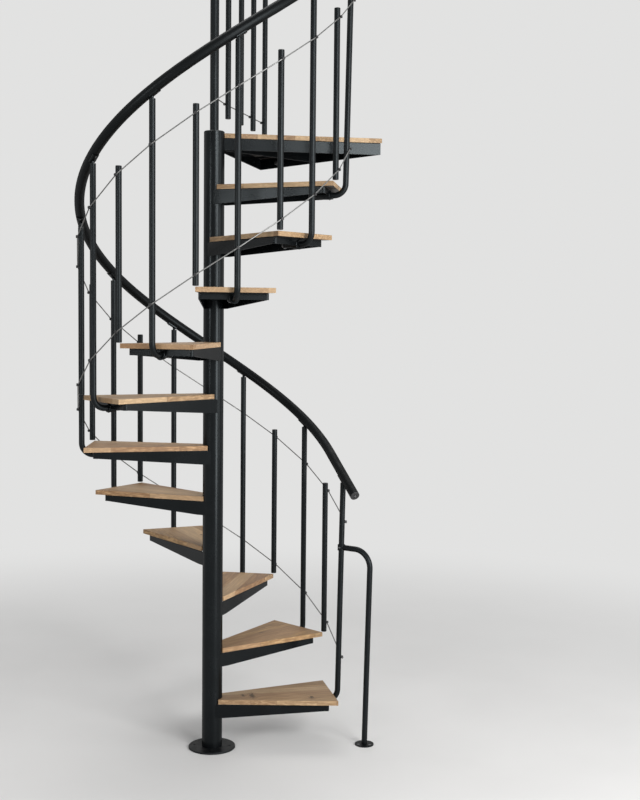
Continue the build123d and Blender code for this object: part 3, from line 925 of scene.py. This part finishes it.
@dataclass
class Treads:
    """The eleven boards on their brackets, with their seals, screws and welds."""

    rhythm: Rhythm
    bracket_reach: float = 0.503
    bracket_toe: float = 0.14356
    bracket_heel: float = 0.0425
    bracket_corner: float = 0.010
    seal: Seal = Seal(start=0.018, outer=0.001, inner=0.0038)
    strap_shares: tuple[float, float] = (0.28, 0.84)
    strap_drop: float = 0.024
    screw_aside: float = 0.012
    screw_spread: float = 0.075
    boss_radius: float = 0.018
    bead: tuple[tuple[float, float], ...] = ((0.0, 0.0), (0.0028, 0.0), (0.0021, 0.0015), (0.0007, 0.0023),
                                             (0.0, 0.0026))
    bead_rows: int = 60
    bead_ripples: int = 13
    bead_swell: float = 0.12
    bead_sink: tuple[float, float] = (0.0003, 0.0002)
    narrowest_stave: float = 0.052
    stave_step: float = 0.006
    stave_widths: int = 4
    seed_start: float = 3.0
    seed_step: float = 1.7
    knots: dict[int, tuple[Knot, ...]] = field(default_factory=lambda: {
        1: (Knot(0.178, -0.012, 0.013, 1.0, 0.34), Knot(0.138, -0.004, 0.009, 1.0, 0.4),
            Knot(0.433, -0.082, 0.010, 0.9, 0.4)),
        2: (Knot(0.33, 0.035, 0.004, 0.2, 1.0), Knot(0.40, 0.09, 0.003, 0.15, 1.0)),
        4: (Knot(0.30, -0.05, 0.008),),
        6: (Knot(0.22, 0.03, 0.007),),
        9: (Knot(0.44, 0.09, 0.009),),
    })
    tones: tuple[OakTone, ...] = (
        OakTone.BEIGE, OakTone.HONEY, OakTone.RUSSET, OakTone.HONEY, OakTone.RUSSET, OakTone.RUSSET,
        OakTone.BEIGE, OakTone.RUSSET, OakTone.BEIGE, OakTone.BEIGE, OakTone.BEIGE)

    def build(self) -> None:
        """Dress the treads and add their small parts."""
        for tread, tone in zip(self.rhythm.numbers, self.tones):
            stave = self.narrowest_stave + self.stave_step * (tread % self.stave_widths)
            seed = self.seed_start + self.seed_step * tread
            oak = OakBoard(f"oak_{tread:02d}", self.rhythm.azimuth(tread), seed, tone, stave,
                           self.knots.get(tread, ()))
            dress(oak.build(), f"wood_tread_{tread:02d}")
        dress(Finish.COAT.material, *(f"tread_bracket_{tread:02d}" for tread in self.rhythm.numbers))
        self._seals()
        self._screws()
        self._welds()

    def _seals(self) -> None:
        """A black seal between each board and its bracket's upper edge."""
        slope = (self.bracket_toe - self.bracket_heel) / self.bracket_reach
        plan = Plan(self.bracket_reach, self.bracket_heel, slope, self.bracket_corner)
        seals = Shape()
        for tread in self.rhythm.numbers:
            self.seal.add(seals, plan, self.rhythm.seat(tread))
        seals.place("board_seals", Finish.RUBBER)

    def _screws(self) -> None:
        """Two screws up through each strap into the board."""
        screws = Screws()
        for tread in self.rhythm.numbers:
            for share in self.strap_shares:
                for side in (-1, 1):
                    aside = side * (self.screw_aside + self.screw_spread * share)
                    spot = Vector((share * self.bracket_reach, aside, -self.strap_drop))
                    screws.add(self.rhythm.seat(tread) @ facing(spot, -UP))
        screws.place("board_screws")

    def _welds(self) -> None:
        """A weld bead round each boss, where it comes through the end plate."""
        beads = Shape()
        inner, sunk = self.boss_radius - self.bead_sink[0], self.bead_sink[1]
        for tread in self.rhythm.numbers:
            spot = Vector((self.bracket_reach, 0, -self.rhythm.leg_drop))
            seat = self.rhythm.seat(tread) @ facing(spot, OUT)
            rows = []
            for row in range(self.bead_rows):
                angle = math.tau * row / self.bead_rows
                swell = 1 + self.bead_swell * math.sin(self.bead_ripples * angle + tread)
                turned = seat @ Matrix.Rotation(angle, 4, "Z")
                rows.append([turned @ Vector((inner + r * swell, 0, h * swell - sunk)) for r, h in self.bead])
            beads.ring(rows)
        beads.place("boss_welds", Finish.COAT, sharp=60.0)


@dataclass
class Landing:
    """The triangular landing with its frame and slab bolts."""

    rhythm: Rhythm
    board_edge: float = 0.61182
    recess: float = 0.003
    half_angle: float = 34.0
    seal_start: float = 0.046
    seal_insets: tuple[float, float] = (0.001, 0.0045)
    plate: float = 0.005
    bolt_spacing: float = 0.56
    bolt_drop: float = 0.047
    washer: tuple[tuple[float, float], ...] = ((0, 0), (0.0115, 0), (0.0115, 0.0018), (0.0109, 0.0024),
                                               (0, 0.0024))
    washer_sides: int = 28
    head: tuple[float, float, float] = (0.017, 0.0075, 0.0012)
    head_seat: float = 0.0022

    def build(self) -> None:
        """Dress the landing, seal its board and set the bolts that hold it to the slab."""
        oak = OakBoard("oak_landing", turn=90.0, seed=41.3, tone=OakTone.BEIGE, stave=0.068,
                       knots=(Knot(0.22, -0.30, 0.009),))
        dress(oak.build(), "landing_board")
        dress(Finish.COAT.material, "landing_frame")
        outer, inner = (self.recess + inset for inset in self.seal_insets)
        plan = Plan(self.board_edge, 0.0, math.tan(math.radians(self.half_angle)))
        seal = Shape()
        Seal(self.seal_start, outer, inner).add(seal, plan, Matrix.Translation((0, 0, self.rhythm.landing_top)))
        seal.place("landing_seal", Finish.RUBBER)
        bolts = Shape()
        for side in (-1, 1):
            spot = Vector((self.board_edge - self.recess - self.plate, side * self.bolt_spacing / 2,
                           self.rhythm.landing_top - self.bolt_drop))
            seat = facing(spot, -OUT)
            bolts.turned(self.washer, seat, self.washer_sides)
            bolts.hexagon(*self.head, seat @ Matrix.Translation((0, 0, self.head_seat)))
        bolts.place("slab_bolts", Finish.ZINC)


@dataclass
class Balusters:
    """The long and short balusters, with plugs in the short ones' ends."""

    rhythm: Rhythm
    short_foot: float = 0.005
    short_top: float = 0.697

    def build(self) -> None:
        """Dress the balusters and plug the short ones."""
        dress(Finish.TUBE.material, "long_balusters", "short_balusters")
        dress(Finish.ZINC.material, "leg_bolts")
        plugs = Plugs(self.rhythm.tube)
        for tread in self.rhythm.numbers[1:]:
            plugs.add(*(self.rhythm.short_baluster(tread, height, own=True)
                        for height in (self.short_foot, self.short_top)))
        plugs.place("baluster_plugs")


@dataclass
class Ropes:
    """The stranded cables over the balusters' outer sides, and the screws of their clips."""

    rhythm: Rhythm
    rope: float = 0.0025
    gap: float = 0.0005
    tail: float = 0.010
    strands: int = 6
    strand_points: int = 3
    valley: float = 0.8
    lay: float = 0.030
    rows_per_lay: int = 12
    grub_out: float = 0.0055
    grub_up: float = 0.0059
    heights: dict[str, float] = field(default_factory=lambda: {"upper_cable": 0.770, "lower_cable": 0.152})
    screws: Screws = field(default_factory=lambda: Screws(radius=0.0018, height=0.0005, socket=0.0018))

    def build(self) -> None:
        """Lay the flight's ropes in place of the plain cables."""
        dress(Finish.PLASTIC.material, "cable_clips")
        for node, height in self.heights.items():
            axes = self.rhythm.crossings(height)
            points = self.beside(axes, [Vector((axis.x, axis.y, 0)).normalized() for axis in axes])
            points[0] += (points[0] - points[1]).normalized() * self.tail
            self.replace(node, [points])

    def beside(self, axes: Sequence[Vector], outs: Sequence[Vector]) -> list[Vector]:
        """Points of a rope that passes tubes on one side, with a screw for each tube's clip.

        Args:
            axes: points on the tubes' axes.
            outs: directions from the axes to the rope.

        Returns:
            The rope's points, of which the last lies a tail's length beyond its tube.
        """
        tube = self.rhythm.tube
        points = [axis + out * (tube + self.gap + self.rope) for axis, out in zip(axes, outs)]
        for axis, out in zip(axes, outs):
            self.screws.add(facing(axis + out * (tube + self.grub_out) + UP * self.grub_up, UP))
        points[-1] += (points[-1] - points[-2]).normalized() * self.tail
        return points

    def replace(self, node: str, runs: Sequence[Sequence[Vector]]) -> None:
        """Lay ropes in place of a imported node.

        Args:
            node: the node's name.
            runs: the ropes' points.
        """
        rope = Shape()
        for points in runs:
            rope.swept(self._twist(points))
        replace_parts(rope.place(f"{node}_rope", Finish.WIRE, sharp=80.0), node)

    def finish(self) -> None:
        """Make the clips' screws, once every rope is laid."""
        self.screws.place("clip_screws")

    def _twist(self, points: Sequence[Vector]) -> list[list[Vector]]:
        """Twist strands along a line of straight runs.

        Args:
            points: the ends of the runs.

        Returns:
            The strands' outlines along the line.
        """
        rows: list[list[Vector]] = []
        travelled = 0.0
        for start, end in zip(points, points[1:]):
            along = end - start
            steps = max(1, round(along.length / (self.lay / self.rows_per_lay)))
            last = 1 if end is points[-1] else 0
            for step in range(steps + last):
                share = step / steps
                twist = math.tau * (travelled + share * along.length) / self.lay
                rows.append(self._section(start + along * share, facing(Vector(), along), twist))
            travelled += along.length
        return rows

    def _section(self, centre: Vector, seat: Matrix, twist: float) -> list[Vector]:
        """Outline of the strands round the rope.

        Args:
            centre: middle of the rope.
            seat: turn of the rope, whose Z runs along it.
            twist: turn of the strands in radians.

        Returns:
            The outline's points.
        """
        across, over = seat.col[0].to_3d(), seat.col[1].to_3d()
        points = []
        for index in range(self.strands * self.strand_points):
            angle = math.tau * index / (self.strands * self.strand_points) + twist
            radius = self.rope * (self.valley if index % self.strand_points == 0 else 1.0)
            points.append(centre + (across * math.cos(angle) + over * math.sin(angle)) * radius)
        return points


@dataclass
class LandingGuard:
    """The balustrade along the landing's far edge."""

    rhythm: Rhythm
    azimuth: float = 31.4
    length: float = 0.697
    overhang: float = 0.040
    bars: int = 3
    bar_foot: float = 0.088
    bar_top: float = 0.815
    post: float = 0.019
    grip: float = 0.008
    flange: float = 0.005
    screws: int = 3
    screw_circle: float = 0.02125

    def build(self, ropes: Ropes) -> None:
        """Dress the guard, plug its bars, lay its ropes and screw down its end post.

        Args:
            ropes: the flight's ropes, which are laid the same way.
        """
        dress(Finish.TUBE.material, "landing_post", "guard_end_post", "guard_bars")
        reaches = [self.length * number / (self.bars + 1) for number in range(1, self.bars + 2)]
        plugs = Plugs(self.rhythm.tube)
        for reach in reaches[:-1]:
            plugs.add(self._point(reach, self.bar_foot), self._point(reach, self.bar_top))
        plugs.place("guard_plugs")
        out = polar(1.0, self.azimuth + 90)
        runs = []
        for height in ropes.heights.values():
            points = ropes.beside([self._point(reach, height) for reach in reaches], [out] * len(reaches))
            middle = self._point(0, height)
            runs.append([middle + (points[0] - middle).normalized() * (self.post - self.grip), *points])
        ropes.replace("guard_cables", runs)
        heads = Screws(radius=0.0050, height=0.0012, socket=0.0038)
        heads.ring(self._point(self.length, 0) + UP * self.flange, self.screw_circle, self.screws)
        heads.place("guard_flange_screws")

    def saddles(self, height: float) -> list[tuple[Vector, Vector]]:
        """Points on the guard rail's axis above its two posts, and the rail's direction."""
        return [(self._point(reach, height), polar(1.0, self.azimuth)) for reach in (0.0, self.length)]

    def rail_ends(self, height: float) -> list[tuple[Vector, Vector]]:
        """The guard rail's ends and the directions out of them."""
        near, far = (self._point(reach, height) for reach in (-self.overhang, self.length + self.overhang))
        return [(near, -polar(1.0, self.azimuth)), (far, polar(1.0, self.azimuth))]

    def _point(self, reach: float, height: float) -> Vector:
        """Point in the guard's plane, at a height above the landing."""
        return polar(reach, self.azimuth, self.rhythm.landing_top + height)


@dataclass
class Handrail:
    """The helical rail on its saddles, with screwed end plugs."""

    rhythm: Rhythm
    height: float = 0.982
    overhang: float = 0.115
    radius: float = 0.021
    cap: float = 0.005
    saddle: float = 0.0035
    saddle_screws: tuple[float, float] = (-0.0192, 0.0150)

    def build(self, guard: LandingGuard) -> None:
        """Dress the rail and what carries it, and set the screws.

        Args:
            guard: the landing's guard, whose rail has the same saddles and plugs.
        """
        dress(Finish.RAIL.material, "handrail", "guard_handrail")
        dress(Finish.COAT.material, "handrail_saddles", "guard_saddles")
        dress(Finish.PLASTIC.material, "handrail_caps")
        small = Screws(radius=0.0030, height=0.0018, socket=0.0030)
        large = Screws(radius=0.0050, height=0.0031, socket=0.0052)
        for axis, along in [self._over(tread) for tread in self.rhythm.numbers] + guard.saddles(self.height):
            self._screw_saddle(small, axis, along)
        ends = [self._over(tread, self.overhang) for tread in (1, self.rhythm.treads)]
        for end, along in ends + guard.rail_ends(self.height):
            large.add(facing(end + along * self.cap, along))
        small.place("saddle_screws")
        large.place("rail_end_screws")

    def _over(self, tread: int, beyond: float = 0.0) -> tuple[Vector, Vector]:
        """Point on the rail's axis above a long baluster, or beyond the first or the last one.

        Args:
            tread: the baluster's tread.
            beyond: distance on plan past the baluster, away from the flight.

        Returns:
            The point, and the rail's direction there, which leads away from the flight at its ends.
        """
        rhythm = self.rhythm
        azimuth, run, way = rhythm.azimuth(tread), 0.0, 1
        if tread in (1, rhythm.treads):
            way = -1 if tread == 1 else 1
            spring = math.acos(rhythm.reach / (rhythm.reach + rhythm.flare))
            azimuth -= way * math.degrees(spring)
            run = rhythm.reach * math.tan(spring) + beyond
        slope = rhythm.rise / (math.radians(rhythm.turn) * rhythm.reach)
        level = polar(1.0, azimuth + 90, slope) * way
        point = polar(rhythm.reach, azimuth, rhythm.climb(azimuth) + self.height)
        return point + level * run, level.normalized()

    def _screw_saddle(self, screws: Screws, axis: Vector, along: Vector) -> None:
        """Two screws up through a saddle, clear of its baluster's top.

        Args:
            screws: the piece to add to.
            axis: point on the rail's axis above the baluster.
            along: the rail's direction there.
        """
        uphill = along if along.z >= 0 else -along
        down = (uphill * uphill.z - UP).normalized()
        for shift in self.saddle_screws:
            screws.add(facing(axis + uphill * shift + down * (self.radius + self.saddle), down))


@dataclass
class StarterPost:
    """The bent tube before the first tread, with the screws of its flange and its clamp ring."""

    rhythm: Rhythm
    reach: float = 0.134
    turn: float = -46.5
    flange: float = 0.005
    screws: int = 3
    screw_circle: float = 0.029
    ring_height: float = 0.654
    ring: float = 0.017

    def build(self) -> None:
        """Dress the post, screw down its flange and clamp its ring."""
        dress(Finish.TUBE.material, "starter_post")
        heading = self.rhythm.azimuth(1) + self.turn
        held = self.rhythm.long_baluster(1, self.ring_height)
        foot = held + polar(self.reach, heading)
        foot.z = self.flange
        heads = Screws(radius=0.0056, height=0.0012, socket=0.0040)
        heads.ring(foot, self.screw_circle, self.screws, heading)
        heads.place("flange_screws")
        aside = polar(1.0, heading - 90)
        clamp = Screws(radius=0.0042, height=0.0020, socket=0.0040)
        clamp.add(facing(held + aside * self.ring, aside))
        clamp.place("ring_screw")


@dataclass(frozen=True)
class Lamp:
    """A soft area lamp that looks at the stair's middle."""

    name: str
    spot: tuple[float, float, float]
    width: float
    height: float
    power: float

    def hang(self, target: Vector) -> None:
        """Hang the lamp.

        Args:
            target: what it looks at.
        """
        data = bpy.data.lights.new(self.name, "AREA")
        data.shape = "RECTANGLE"
        data.size, data.size_y, data.energy = self.width, self.height, self.power
        spot = Vector(self.spot)
        stand(self.name, data).matrix_world = facing(spot, spot - target)


@dataclass
class Studio:
    """Pale floor and background, and soft lamps."""

    floor_radius: float = 60.0
    floor_sides: int = 96
    near: float = 1.3
    far: float = 5.0
    pale: Colour = (0.76, 0.76, 0.755)
    paint: Colour = (0.70, 0.695, 0.685)
    paint_cloud: float = 1.04
    paint_roughness: float = 0.6
    sky: Colour = (0.99, 0.99, 1.0)
    sky_strength: float = 0.37
    target: tuple[float, float, float] = (0.0, 0.0, 1.6)
    lamps: tuple[Lamp, ...] = (
        Lamp("key", (0.10, -5.2, 2.1), 1.6, 3.9, 215.0),
        Lamp("right", (2.6, -4.5, 2.3), 1.8, 3.0, 50.0),
        Lamp("front", (-1.4, -5.6, 3.6), 1.2, 1.0, 105.0),
        Lamp("left", (-5.0, -0.9, 2.35), 0.7, 1.3, 48.0),
        Lamp("top", (0.6, 1.2, 6.0), 3.0, 3.0, 85.0),
    )

    def build(self) -> None:
        """Lay the floor, light the world and hang the lamps."""
        self._floor()
        self._world()
        for lamp in self.lamps:
            lamp.hang(Vector(self.target))

    @staticmethod
    def _seen(graph: Graph) -> Socket:
        """Rays that show the background: the eye's, and those in gloss and glass.

        Args:
            graph: the graph to add to.

        Returns:
            1 for such a ray and 0 for another.
        """
        rays = graph.node("LightPath", {}).outputs
        seen = graph.step(Step.MOST, rays["Is Camera Ray"], rays["Is Glossy Ray"])
        return graph.step(Step.MOST, seen, rays["Is Transmission Ray"])

    def _floor(self) -> None:
        """A level disc whose colour runs out into the background."""
        disc = Shape()
        reaches = (0, self.near, self.far, self.floor_radius)
        disc.turned([(reach, 0) for reach in reaches], Matrix(), self.floor_sides)
        floor = stand("floor", disc.data("floor"))
        graph = Graph(bpy.data.materials.new("floor_paint"))
        floor.data.materials.append(graph.owner)
        here = graph.here()
        reach = graph.node("VectorMath", {0: here}, operation="LENGTH").outputs["Value"]
        paler = tuple(self.paint_cloud * part for part in self.paint)
        colour = graph.blend(graph.cloud(here, 1.3, 3.0), self.paint, paler)
        paint = graph.node("BsdfPrincipled", {"Base Color": colour, "Roughness": self.paint_roughness})
        glow = graph.node("Emission", {"Color": self.pale})
        share = graph.step(Step.TIMES, graph.ramp(reach, self.near, self.far), self._seen(graph))
        mixed = graph.node("MixShader", {0: share, 1: paint.outputs[0], 2: glow.outputs[0]})
        graph.close(mixed.outputs[0])

    def _world(self) -> None:
        """Pale background to the eye and in gloss, and a softer sky as light."""
        world = bpy.data.worlds.new("studio")
        bpy.context.scene.world = world
        graph = Graph(world)
        sky = graph.node("Background", {"Color": self.sky, "Strength": self.sky_strength})
        paper = graph.node("Background", {"Color": self.pale})
        mixed = graph.node("MixShader", {0: self._seen(graph), 1: sky.outputs[0], 2: paper.outputs[0]})
        graph.close(mixed.outputs[0])


@dataclass(frozen=True)
class Viewpoint:
    """The camera's place and its turn, found from the photographed stair's own lines."""

    eye: tuple[float, float, float] = (-3.2856, -4.1663, 1.9011)
    heading: float = -43.30
    pitch: float = 3.783
    roll: float = 0.558
    lens: float = 54.578
    sensor: float = 36.0
    sight: float = 200.0

    def build(self) -> None:
        """Make the camera and look through it."""
        heading, pitch, roll = (math.radians(angle) for angle in (self.heading, self.pitch, self.roll))
        level = Vector((-math.sin(heading), math.cos(heading), 0))
        side = Vector((math.cos(heading), math.sin(heading), 0))
        ahead = level * math.cos(pitch) - UP * math.sin(pitch)
        over = UP * math.cos(pitch) + level * math.sin(pitch)
        across = side * math.cos(roll) + over * math.sin(roll)
        upright = over * math.cos(roll) - side * math.sin(roll)
        data = bpy.data.cameras.new("camera")
        data.lens, data.sensor_width, data.clip_end = self.lens, self.sensor, self.sight
        camera = stand("camera", data)
        turned = Matrix((across, upright, -ahead)).transposed().to_4x4()
        camera.matrix_world = Matrix.Translation(self.eye) @ turned
        bpy.context.scene.camera = camera


def main() -> None:
    """Dress the stair, piece by piece, and set the scene round it."""
    logging.basicConfig(level=logging.INFO, format="%(message)s")
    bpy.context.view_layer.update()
    rhythm = Rhythm()
    ropes = Ropes(rhythm)
    guard = LandingGuard(rhythm)
    Column(rhythm).build()
    Treads(rhythm).build()
    Landing(rhythm).build()
    Balusters(rhythm).build()
    ropes.build()
    guard.build(ropes)
    ropes.finish()
    Handrail(rhythm).build(guard)
    StarterPost(rhythm).build()
    Studio().build()
    Viewpoint().build()
    scene = bpy.context.scene
    scene.view_settings.view_transform = "Standard"


if __name__ == "__main__":
    main()
